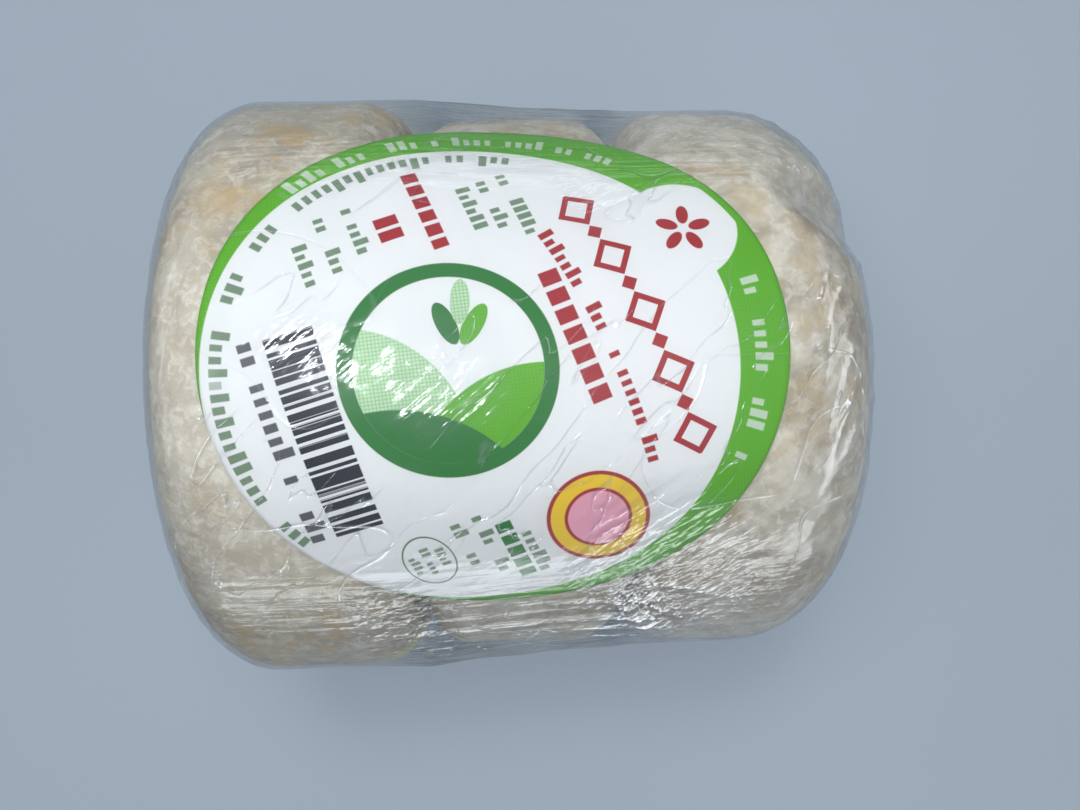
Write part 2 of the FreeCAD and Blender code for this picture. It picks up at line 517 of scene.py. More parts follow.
@dataclass(frozen=True)
class RindFinish:
    """Ivory bloomy rind with ochre blotches."""

    name: str
    ivory: Colour = srgb(0.81, 0.785, 0.73)
    bloom: Colour = srgb(0.90, 0.885, 0.845)
    shade: Colour = srgb(0.66, 0.62, 0.55)
    ochre: Colour = srgb(0.74, 0.65, 0.49)
    curd: Colour = srgb(0.80, 0.79, 0.56)
    stain: float = 0.5
    seed: float = 0.0
    soft_spot: Optional[tuple[float, float, float]] = None
    spot_size: tuple[float, float] = (6.0 * MM, 3.0 * MM)
    relief_depth: float = 0.35 * MM

    def material(self) -> bpy.types.Material:
        """Builds the rind's material.

        Returns:
            The material.
        """
        graph = Graph(self.name)
        shift = (self.seed, self.seed * 0.7, -self.seed)
        place = graph.place(shift=shift)
        cloud = graph.noise(260.0, 3.0, 0.5, place, 0.4)
        patch = graph.noise(60.0, 2.0, 0.5, graph.place(shift=(self.seed + 0.3, 0.1, 0.2)))
        fine = graph.noise(1000.0, 4.0, 0.62, place, 0.6)
        skin = graph.blend(cloud.rise(0.36, 0.62), self.shade, self.ivory)
        thread = graph.noise(520.0, 3.0, 0.6, graph.place((2.6, 1.0, 1.0), (0.2, 0.0, 0.7)))
        skin = graph.blend(thread.rise(0.52, 0.36) * 0.45, skin, self.shade)
        bloom = fine.rise(0.44, 0.68) * 0.45 + patch.rise(0.56, 0.40) * 0.25
        skin = graph.blend(bloom, skin, self.bloom)
        freckle = graph.noise(330.0, 3.0, 0.55, graph.place(shift=(0.2, self.seed, 0.4)))
        stained = patch.rise(0.40, 0.62) * freckle.rise(0.46, 0.66) * self.stain
        colour = graph.blend(stained, skin, self.ochre)
        if self.soft_spot:
            own = graph.node("ShaderNodeTexCoord").outputs["Object"]
            inputs = {0: own, 1: self.soft_spot}
            away = graph.value("ShaderNodeVectorMath", {"operation": "DISTANCE"}, inputs, "Value")
            near = (away + cloud * (2.5 * MM)).rise(*self.spot_size)
            colour = graph.blend(near * 0.8, colour, self.curd)
        grain = graph.noise(1500.0, 3.0, 0.7, place)
        relief = fine * 0.5 + thread * 0.4 + grain * 0.2
        shader = graph.node("ShaderNodeBsdfPrincipled", None, {
            "Base Color": colour, "Roughness": 0.62, "Specular IOR Level": 0.35,
            "Normal": graph.bump(relief, self.relief_depth, 0.8)})
        return graph.finish(shader)


@dataclass
class Cheese:
    """One pressed disc with a wrinkled, uneven rind."""

    row: Row
    disc: Disc
    finish: RindFinish
    seed: float
    turns: int = 480
    fine: float = 0.42 * MM
    coarse: float = 1.6 * MM
    wrinkle: float = 0.36 * MM
    wrinkle_size: float = 2.3 * MM
    lump: float = 0.45 * MM
    lump_size: float = 13.0 * MM

    def _corners(self) -> list[Bend]:
        """Outline of the disc, about the middle of its node's box along the row.

        Returns:
            The outline's corners, from the left end to the right.
        """
        low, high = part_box(self.disc.value)
        radius, grown = (high.y - low.y) / 2, self.row.rind_growth
        left = self.row.left_edge if self.disc is Disc.LEFT else self.row.inner_edge
        right = self.row.right_edge if self.disc is Disc.RIGHT else self.row.inner_edge
        half = self._half_thickness(high.x - low.x, radius, left, right)
        start = -half - (grown if self.disc is Disc.LEFT else 0.0)
        end = half + (grown if self.disc is Disc.RIGHT else 0.0)
        start_swell = self.row.face_swell if self.disc is Disc.LEFT else 0.0
        end_swell = self.row.face_swell if self.disc is Disc.RIGHT else 0.0
        return [Bend(start - start_swell, 0.0), Bend(start, radius + grown, left),
                Bend(end, radius + grown, right), Bend(end + end_swell, 0.0)]

    def _half_thickness(self, width: float, radius: float, left: float, right: float) -> float:
        """Half of the disc's thickness, from its dipping box's width.

        Args:
            width: Width of the node's box along the row.
            radius: Radius of the disc.
            left: Rounding of its left edge.
            right: Rounding of its right edge.

        Returns:
            Half the thickness at the rim of a face.
        """
        sine, cosine = math.sin(self.row.dip), math.cos(self.row.dip)
        lean = (radius - left) * sine + left + (radius - right) * sine + right
        return (width - lean + (left + right) * cosine) / (2 * cosine)

    def _spacing(self, point: Vector) -> float:
        """Longest edge of the outline: fine where the rind shows.

        Args:
            point: Place on the outline.

        Returns:
            The length.
        """
        low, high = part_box(self.disc.value)
        radius = (high.y - low.y) / 2
        outer = (self.disc is Disc.LEFT and point.x < 0) or (self.disc is Disc.RIGHT and point.x > 0)
        return self.fine if outer or point.z > radius * 0.86 else self.coarse

    def _relief(self, point: Vector) -> float:
        """Depth of the rind's lumps, wrinkles and pits, below the disc's widest form.

        Args:
            point: Place on the disc.

        Returns:
            The depth.
        """
        where = point + Vector((self.seed, self.seed * 1.7, -self.seed))
        lump = 0.5 + 0.5 * noise.noise(where / self.lump_size)
        stir = noise.noise_vector(where / (3.1 * self.wrinkle_size)) * 0.9
        crest = ridged(where / self.wrinkle_size + stir, 3)
        strength = 0.65 + 0.6 * noise.noise(where / (9.0 * MM))
        pit = smooth_step(noise.noise(where / (2.9 * MM) + Vector((7.0, 3.0, 1.0))), 0.38, 0.62)
        return self.lump * lump + self.wrinkle * max(strength, 0.25) * (1.0 - crest) + 0.25 * MM * pit

    def _fill(self, point: Vector) -> float:
        """How much further the rind reaches towards the film where no label lies between them.

        Args:
            point: Place on the disc.

        Returns:
            The distance.
        """
        flank = smooth_step(abs(math.atan2(point.y, point.z)), math.radians(52.0), math.radians(72.0))
        outwards = {Disc.LEFT: -point.x, Disc.MIDDLE: 0.0, Disc.RIGHT: point.x}[self.disc]
        face = smooth_step(outwards, 6.0 * MM, 9.5 * MM)
        return self.row.rind_fill * max(face, flank if self.disc is not Disc.MIDDLE else 0.0)

    def build(self) -> bpy.types.Object:
        """Models the disc and puts it in place.

        Returns:
            The piece.
        """
        made = turned_mesh(self._corners(), self.turns, self._spacing)
        low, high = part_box(self.disc.value)
        middle = self.row.to_place.inverted() @ Vector(((low.x + high.x) / 2, 0.0, self.row.height))
        drop = self._drop(high.z)
        made.normal_update()
        moves = [(vertex, vertex.normal.copy(), self._fill(vertex.co), self._relief(vertex.co))
                 for vertex in made.verts]
        for vertex, outwards, fill, relief in moves:
            moved = vertex.co + outwards * fill + Vector((middle.x, 0.0, 0.0))
            if self.disc is Disc.RIGHT:
                moved = self.row.pressed(moved, self.row.rind_growth + fill)
            placed = self.row.to_place @ (moved - outwards * relief - Vector((0.0, 0.0, drop)))
            placed.z = max(placed.z, low.z)
            vertex.co = placed
        return to_object(made, self.disc.value + "_rind", self.finish.material())

    def _drop(self, top: float) -> float:
        """How far below the row's axis the disc lies.

        Args:
            top: Height of the top of its node.

        Returns:
            The distance.
        """
        if self.disc is not Disc.MIDDLE:
            return 0.0
        low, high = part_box(self.disc.value)
        radius = (high.y - low.y) / 2
        beside = (low.x + high.x) / 2 - self.row.shift
        return self.row.height - (top - radius) - beside * math.tan(self.row.dip)


# ---- label


@dataclass(frozen=True)
class Inks:
    """Colours of the paper and of its print."""

    paper: Colour = srgb(0.86, 0.865, 0.865)
    green: Colour = srgb(0.37, 0.66, 0.12)
    deep: Colour = srgb(0.12, 0.42, 0.17)
    light: Colour = srgb(0.50, 0.72, 0.44)
    red: Colour = srgb(0.60, 0.15, 0.17)
    text: Colour = srgb(0.24, 0.40, 0.22)
    black: Colour = srgb(0.10, 0.12, 0.16)
    amber: Colour = srgb(0.88, 0.75, 0.16)
    pink: Colour = srgb(0.86, 0.62, 0.70)
    fibre: Colour = srgb(0.78, 0.82, 0.86)
    green_dot: Colour = srgb(0.25, 0.55, 0.08)
    hill_dot: Colour = srgb(0.25, 0.52, 0.10)
    deep_dot: Colour = srgb(0.20, 0.47, 0.20)


class Print:
    """Fields of ink on the label, worked out in millimetres from its centre."""

    def __init__(self, graph: Graph, radius: float) -> None:
        """Reads the label's own coordinates.

        Args:
            graph: The label's graph.
            radius: Radius of the label in millimetres.
        """
        self.graph = graph
        self.radius = radius
        sheet = graph.node("ShaderNodeUVMap", {"uv_map": "print"}).outputs[0]
        apart = graph.node("ShaderNodeSeparateXYZ", None, {"Vector": sheet})
        self.right = (Value(graph, apart.outputs[0]) - 0.5) * (2 * radius)
        self.up = (Value(graph, apart.outputs[1]) - 0.5) * (2 * radius)
        self.soft = 0.06

    def distance(self, right: float, up: float, squash: float = 1.0, turn: float = 0.0) -> Value:
        """Distance from a point, on axes turned by an angle in degrees and with the second one squashed."""
        across, along = self.axes(right, up, turn)
        return (across * across + along * along * (1.0 / squash ** 2)) ** 0.5

    def axes(self, right: float, up: float, turn: float) -> tuple[Value, Value]:
        """Coordinates about a point on turned axes.

        Args:
            right: The point's place to the right.
            up: The point's place upwards.
            turn: Angle of the first axis in degrees.

        Returns:
            The place along the first axis and along the second.
        """
        cosine, sine = math.cos(math.radians(turn)), math.sin(math.radians(turn))
        across = self.right * cosine + self.up * sine - (right * cosine + up * sine)
        along = self.up * cosine - self.right * sine - (up * cosine - right * sine)
        return across, along

    def inside(self, distance: Value, radius: float) -> Value:
        """Field where a distance is under a radius."""
        return distance.rise(radius + self.soft, radius - self.soft)

    def ring(self, distance: Value, radius: float, width: float) -> Value:
        """Field of a ring about a radius."""
        return self.inside(abs(distance - radius), width / 2)

    def bar(self, right: float, up: float, turn: float, length: float, width: float) -> Value:
        """Field of a straight bar about a point, with its length along an angle in degrees."""
        across, along = self.axes(right, up, turn)
        return self.inside(abs(across), length / 2) * self.inside(abs(along), width / 2)

    def ticks(self, along: Value, across: Value, ends: tuple[float, float], height: float,
              seed: float) -> Value:
        """Field of upright ticks in groups of uneven length, where a line of small print goes.

        Args:
            along: Place along the line in millimetres.
            across: Place across the line in millimetres.
            ends: Where the line begins and ends.
            height: Height of the tall ticks; the others are two thirds of it.
            seed: Number that sets the order of the ticks.

        Returns:
            The field.
        """
        pitch = 0.66 * height
        number = (along * (1.0 / pitch)).math("FLOOR")
        line = {"noise_dimensions": "1D"}
        chance = self.graph.value("ShaderNodeTexWhiteNoise", line, {"W": number + seed})
        grouping = {"W": number * 0.41 + seed, "Scale": 1.0, "Detail": 0.0}
        group = self.graph.value("ShaderNodeTexNoise", line, grouping)
        middle = (number + 0.5) * pitch
        beside = abs(along - middle) - chance * (0.10 * pitch)
        held = middle.rise(ends[0], ends[0] + 0.01) * middle.rise(ends[1], ends[1] - 0.01)
        top = across - chance.rise(0.60, 0.61) * (height / 3)
        above_foot = across.rise(-height / 2 - self.soft, -height / 2 + self.soft)
        upright = self.inside(top, height / 6) * above_foot
        return self.inside(beside, 0.26 * pitch) * upright * (group.rise(0.40, 0.41) * held)

    def line(self, right: float, up: float, turn: float, length: float, height: float,
             seed: float) -> Value:
        """Field of a straight line of ticks about a point, with its length along an angle in degrees."""
        along, across = self.axes(right, up, turn)
        return self.ticks(along, across, (-length / 2, length / 2), height, seed)


@dataclass
class LabelFinish:
    """Coated paper with a green border, rows of marks and a round meadow picture.

    Places and sizes on it are in millimetres to the right and up from its centre, angles in degrees.
    """

    radius: float
    inks: Inks = field(default_factory=Inks)
    slant: float = -67.0
    blossom: tuple[float, float] = (15.6, 10.9)
    graph: Graph = field(init=False)
    sheet: Print = field(init=False)
    colour: Paint = field(init=False)

    def __post_init__(self) -> None:
        """Starts the material with bare paper."""
        self.graph = Graph("printed_paper")
        self.sheet = Print(self.graph, self.radius)
        self.colour = self.inks.paper

    def material(self) -> bpy.types.Material:
        """Builds the label's material.

        Returns:
            The material.
        """
        fibre = self.graph.noise(2600.0, 3.0)
        self._lay(fibre * 0.05, self.inks.fibre)
        self._border()
        self._medallion()
        self._lozenges()
        self._blossom()
        self._marks()
        self._stripes()
        self._roundel()
        shader = self.graph.node("ShaderNodeBsdfPrincipled", None, {
            "Base Color": self.colour, "Roughness": 0.42, "Specular IOR Level": 0.35,
            "Normal": self.graph.bump(fibre, 0.03 * MM, 0.25)})
        return self.graph.finish(shader)

    def _lay(self, share: Value, ink: Paint) -> None:
        """Lays an ink over the colour so far, where a field is."""
        self.colour = self.graph.blend(share, self.colour, ink)

    def _screen(self) -> Value:
        """Fine printing screen.

        Returns:
            A field from 0 between the dots to 1 on them.
        """
        across, along = self.sheet.axes(0.0, 0.0, 8.0)
        pitch = 0.30
        dot = abs(across.wrapped(pitch)).most(abs(along.wrapped(pitch)))
        return dot.rise(pitch * 0.5, pitch * 0.28)

    def _around(self, right: float, up: float, mirrored: bool = False) -> Value:
        """Angle about a point in radians, from the right or, mirrored, from the left."""
        across = self.sheet.right - right
        return (self.sheet.up - up).math("ARCTAN2", 0.0 - across if mirrored else across)

    def _border(self) -> None:
        """Green border, wider to the upper right, with a white bay and lines of white ticks."""
        sheet, inks = self.sheet, self.inks
        width, offset, towards = 2.25, 2.5, math.radians(40.0)
        inner = sheet.distance(-offset * math.cos(towards), -offset * math.sin(towards))
        band = 1.0 - sheet.inside(inner, self.radius - width)
        bay = sheet.inside(sheet.distance(15.2, 10.9), 5.0)
        rim = sheet.inside(sheet.distance(0.0, 0.0), self.radius - 0.75)
        green = self.graph.blend(self._screen() * 0.45, inks.green, inks.green_dot)
        self._lay(band * (1.0 - bay * rim), green)
        middle = self.radius - 1.2
        along = sheet.up.math("ARCTAN2", sheet.right) * middle
        across = sheet.distance(-0.95, -0.8) - middle
        for start, end in ((62.0, 144.0), (-24.0, 17.0)):
            ends = (math.radians(start) * middle, math.radians(end) * middle)
            self._lay(sheet.ticks(along, across, ends, 1.5, start) * 0.62, inks.paper)

    def _medallion(self) -> None:
        """Round picture of a meadow: a ring, three hills and a sprig of leaves."""
        graph, sheet, inks = self.graph, self.sheet, self.inks
        right, up, radius = -4.0, -1.7, 8.3
        centre = sheet.distance(right, up)
        hole = sheet.inside(centre, radius - 0.6)
        screen = self._screen()
        pale = graph.blend(screen * 0.5, inks.light, inks.paper)
        middle = graph.blend(screen * 0.4, inks.green, inks.hill_dot)
        deep = graph.blend(screen * 0.3, inks.deep, inks.deep_dot)
        hills = ((-12.5, -9.0, 10.5, pale), (4.0, -12.0, 11.0, middle), (-8.0, -17.5, 12.5, deep))
        for across, height, size, ink in hills:
            self._lay(sheet.inside(sheet.distance(across, height), size) * hole, ink)
        for turn, reach, ink in ((62.0, 2.4, middle), (118.0, 2.4, deep), (90.0, 4.0, pale)):
            leaf_right = right + 0.8 + reach * math.cos(math.radians(turn))
            leaf_up = up + 1.6 + reach * math.sin(math.radians(turn))
            self._lay(sheet.inside(sheet.distance(leaf_right, leaf_up, 0.42, turn), 1.9), ink)
        self._lay(sheet.ring(centre, radius, 1.25), deep)

    def _lozenges(self) -> None:
        """Curved chain of large and small red lozenges, with a thin red line beside it."""
        hub_right, hub_up, chain = -59.8, -31.9, 80.0
        ring = self.sheet.distance(hub_right, hub_up) - chain
        along = (self._around(hub_right, hub_up) - math.radians(26.1)) * chain
        pitch, count = 5.5, 5
        half = pitch * count / 2
        diagonal = abs(ring) + abs(along.wrapped(pitch))
        large = abs(diagonal - 1.55).rise(0.40, 0.32)
        small = (abs(ring) + abs((along + pitch / 2).wrapped(pitch))).rise(0.80, 0.70)
        self._lay(large.most(small) * abs(along).rise(half - 0.9, half - 1.0), self.inks.red)
        self._lay(self.sheet.ticks(along, ring + 3.7, (-12.6, 10.6), 1.35, 4.0), self.inks.red)

    def _blossom(self) -> None:
        """Plain red blossom of five petals in the bay."""
        right, up = self.blossom
        for petal in range(5):
            turn = 90.0 + petal * 72.0
            petal_right = right + 1.45 * math.cos(math.radians(turn))
            petal_up = up + 1.45 * math.sin(math.radians(turn))
            self._lay(self.sheet.inside(self.sheet.distance(petal_right, petal_up, 0.55, turn), 0.95),
                      self.inks.red)

    def _marks(self) -> None:
        """Rows of ticks where small print goes, rows of bold blocks, and an arc of ticks at the left rim."""
        sheet, inks = self.sheet, self.inks
        rows = ((1.6, 13.2, 8.6), (-0.4, 13.0, 7.6), (-2.4, 12.8, 5.6), (-11.5, 9.4, 6.6), (-13.7, 8.4, 7.2),
                (-15.8, 7.2, 4.8), (-2.7, -17.0, 4.8), (-0.6, -17.0, 6.2), (3.3, -17.8, 5.0))
        for number, (right, up, length) in enumerate(rows):
            self._lay(sheet.line(right, up, self.slant, length, 1.25, 3.7 * number + 0.5) * 0.85, inks.text)
        bold = ((6.2, 1.3, 12.2, 1.7, 1.75, inks.red), (-6.4, 12.6, 8.6, 1.35, 1.5, inks.red),
                (-9.2, 10.4, 2.6, 2.0, 1.35, inks.red), (1.4, -17.6, 6.4, 1.4, 1.35, inks.deep))
        for right, up, length, width, pitch, ink in bold:
            across, _ = sheet.axes(right, up, self.slant)
            within = abs((across + length / 2 - pitch / 2).wrapped(pitch)).rise(0.40 * pitch, 0.34 * pitch)
            self._lay(sheet.bar(right, up, self.slant, length, width) * within, ink)
        hub_right, hub_up, reach = -1.9, -1.6, 20.3
        around = self._around(hub_right, hub_up, mirrored=True) * reach
        inwards = reach - sheet.distance(hub_right, hub_up)
        arc = sheet.ticks(around, inwards, (-0.85 * reach, 1.70 * reach), 1.5, 11.0)
        self._lay(arc * 0.85, inks.text)

    def _stripes(self) -> None:
        """Block of black stripes of uneven width, with a line of ticks along it."""
        sheet, black = self.sheet, self.inks.black
        right, up, turn, length, width = -14.2, -7.0, -72.0, 17.6, 4.1
        across, along = sheet.axes(right, up, turn)
        inputs = {"W": across * 1.9 + 31.0, "Scale": 1.0, "Detail": 1.0, "Roughness": 0.4}
        coarse = self.graph.value("ShaderNodeTexNoise", {"noise_dimensions": "1D"}, inputs)
        fine = abs(across.wrapped(0.72)).rise(0.20, 0.15)
        stripe = coarse.rise(0.48, 0.52).most(fine * coarse.rise(0.36, 0.40))
        self._lay(sheet.bar(right, up, turn, length, width) * stripe, black)
        beside = sheet.ticks(across, along + 3.3, (-length / 2, length / 2), 1.7, 2.0)
        self._lay(beside * 0.9, black)

    def _roundel(self) -> None:
        """Plain roundel in amber, red and pink, and a thin green oval with lines of ticks."""
        sheet, inks = self.sheet, self.inks
        centre = sheet.distance(8.4, -14.5)
        self._lay(sheet.inside(centre, 4.3), inks.amber)
        self._lay(sheet.ring(centre, 4.25, 0.35), inks.red)
        self._lay(sheet.inside(centre, 2.7), inks.pink)
        self._lay(sheet.ring(centre, 2.75, 0.3), inks.red)
        marks = sheet.ring(sheet.distance(-5.9, -18.7, 0.78, -60.0), 2.7, 0.16)
        for right, up, length in ((-4.8, -18.2, 2.4), (-5.9, -18.7, 3.6), (-7.0, -19.2, 2.4)):
            marks = marks.most(sheet.line(right, up, self.slant, length, 0.8, right) * 0.8)
        self._lay(marks, inks.text)


@dataclass
class Label:
    """Round paper label bent over the row, under the film."""

    row: Row
    radius: float = 24.0 * MM
    along: float = -2.2 * MM
    turn: float = math.radians(3.7)
    print_turn: float = math.radians(-1.5)
    thickness: float = 0.16 * MM
    rings: int = 56
    spokes: int = 256
    sag: float = 0.10 * MM

    def _bent(self, flat: Vector) -> Vector:
        """Where a point of the flat label comes to lie.

        Args:
            flat: Point of the flat label, right and up from its centre.

        Returns:
            The point in the frame.
        """
        along = self.along + flat.x
        radius = self.row.crown_radius(along) + self.row.label_offset + self._lift(flat)
        angle = self.turn + flat.y / radius
        own = Vector((along, radius * math.sin(angle), radius * math.cos(angle)))
        return self.row.to_place @ own

    def _lift(self, flat: Vector) -> float:
        """Rise of the paper, which sags a little over the gaps and cockles at its rim.

        Args:
            flat: Point of the flat label.

        Returns:
            The height, below 0 where it sags.
        """
        gaps = (self.row.left_face / 3, self.row.right_face / 3)
        sag = sum(math.exp(-((self.along + flat.x - gap) / (2.6 * MM)) ** 2) for gap in gaps)
        rim = smooth_step(flat.length, 0.72 * self.radius, self.radius)
        cockle = noise.noise(flat / (5.0 * MM)) * 0.05 * MM * rim
        return cockle - self.sag * sag

    def build(self) -> bpy.types.Object:
        """Models the label from a flat disc.

        Returns:
            The piece.
        """
        made = bmesh.new()
        centre = made.verts.new((0.0, 0.0, 0.0))
        rim = made.verts.new((self.radius, 0.0, 0.0))
        spoke = made.edges.new((centre, rim))
        bmesh.ops.subdivide_edges(made, edges=[spoke], cuts=self.rings)
        spin_closed(made, Vector((0.0, 0.0, 1.0)), self.spokes)
        if made.faces[0].normal.z < 0:
            bmesh.ops.reverse_faces(made, faces=made.faces[:])
        sheet = made.loops.layers.uv.new("print")
        turned = Matrix.Rotation(-self.print_turn, 3, "Z")
        for face in made.faces:
            for loop in face.loops:
                flat = turned @ loop.vert.co / (2 * self.radius)
                loop[sheet].uv = (flat.x + 0.5, flat.y + 0.5)
        for vertex in made.verts:
            vertex.co = self._bent(vertex.co)
        bmesh.ops.solidify(made, geom=made.faces[:], thickness=self.thickness)
        return to_object(made, "paper_label", LabelFinish(self.radius / MM).material())


# ---- film


@dataclass(frozen=True)
class FilmFinish:
    """Clear cling film: almost nothing seen straight on, with streaks and glints."""

    tint: Colour = srgb(0.982, 0.987, 0.990)
    metal: Colour = srgb(0.96, 0.98, 1.0)
    crumples: tuple[tuple[float, float, float], ...] = (
        (-5.8, 0.5, 7.5), (-16.5, 2.5, 6.0), (13.0, -18.0, 10.0), (6.0, 14.5, 4.0), (-12.0, -24.0, 7.0))
    relief_depth: float = 0.6 * MM
    grazing: float = 0.62
    straight_on: float = 0.02
    fold_haze: float = 0.34

    def _crumpled(self, graph: Graph) -> Value:
        """Field of the places where the film is finely crumpled, uneven at its limits.

        Args:
            graph: The film's graph.

        Returns:
            The field.
        """
        own = graph.node("ShaderNodeTexCoord").outputs["Object"]
        stir = graph.noise(170.0, 3.0, 0.6)
        total = None
        flat = graph.node("ShaderNodeVectorMath", {"operation": "MULTIPLY"}, {0: own, 1: (1.0, 1.0, 0.0)})
        for right, up, radius in self.crumples:
            inputs = {0: flat.outputs[0], 1: (right * MM, up * MM, 0.0)}
            away = graph.value("ShaderNodeVectorMath", {"operation": "DISTANCE"}, inputs, "Value")
            near = (away * (1.0 / MM) + stir * 6.0).rise(radius + 3.0, radius - 1.0)
            total = near if total is None else total.most(near)
        return total

    @staticmethod
    def _flank(graph: Graph) -> Value:
        """Field of the two sides, where the film is drawn into silky lines along the row.

        Args:
            graph: The film's graph.

        Returns:
            The field.
        """
        own = graph.node("ShaderNodeTexCoord").outputs["Object"]
        apart = graph.node("ShaderNodeSeparateXYZ", None, {"Vector": own})
        return abs(Value(graph, apart.outputs[1])).rise(14.0 * MM, 22.0 * MM)

    def material(self) -> bpy.types.Material:
        """Builds the film's material.

        Returns:
            The material.
        """
        graph = Graph("cling_film")
        crumpled = self._crumpled(graph)
        flank = self._flank(graph)
        slanted = graph.place((4.5, 0.9, 1.0), (0.0, 0.0, 0.65))
        crinkle = graph.noise(1000.0, 2.5, 0.5, slanted)
        silk = graph.noise(620.0, 3.0, 0.55, graph.place((18.0, 1.0, 1.0), (0.0, 0.05, 0.03)))
        soft = graph.noise(190.0, 3.0, 0.5, graph.place((2.0, 1.0, 1.0)))
        long_lines = graph.noise(60.0, 1.0, 0.4, graph.place((1.5, 1.0, 1.0), (0.0, 0.0, -0.25)))
        short_lines = graph.noise(250.0, 2.0, 0.5, graph.place((4.0, 1.0, 1.0), (0.0, 0.0, 0.9)))
        hair = abs(long_lines - 0.5).rise(0.0035, 0.0) * 0.5
        scattered = graph.noise(95.0, 2.0, 0.5, graph.place(shift=(0.02, 0.01, 0.0)))
        stroke = abs(short_lines - 0.5).rise(0.012, 0.0) * scattered.rise(0.45, 0.6)
        crinkled = crinkle * (crumpled * 0.80 + flank * 0.12 + 0.08)
        relief = soft * 0.4 + crinkled + silk * (flank * 0.95 + 0.04)
        normal = graph.bump(relief + stroke * 0.2 + hair * 0.2, self.relief_depth, 0.7)
        gloss = graph.node("ShaderNodeBsdfPrincipled", None, {
            "Base Color": self.metal, "Metallic": 1.0, "Roughness": 0.15, "Normal": normal})
        clear = graph.node("ShaderNodeBsdfTransparent", None, {"Color": self.tint})
        facing = graph.value("ShaderNodeLayerWeight", None, {"Blend": 0.30, "Normal": normal}, "Fresnel")
        fold = graph.value("ShaderNodeAttribute", {"attribute_name": FOLD}, None, "Fac")
        haze = stroke * 0.12 + hair * 0.16 + crumpled * 0.05 + fold * self.fold_haze
        share = facing * self.grazing + (haze + self.straight_on)
        inputs = {0: share, 1: clear.outputs[0], 2: gloss.outputs[0]}
        return graph.finish(graph.node("ShaderNodeMixShader", None, inputs))


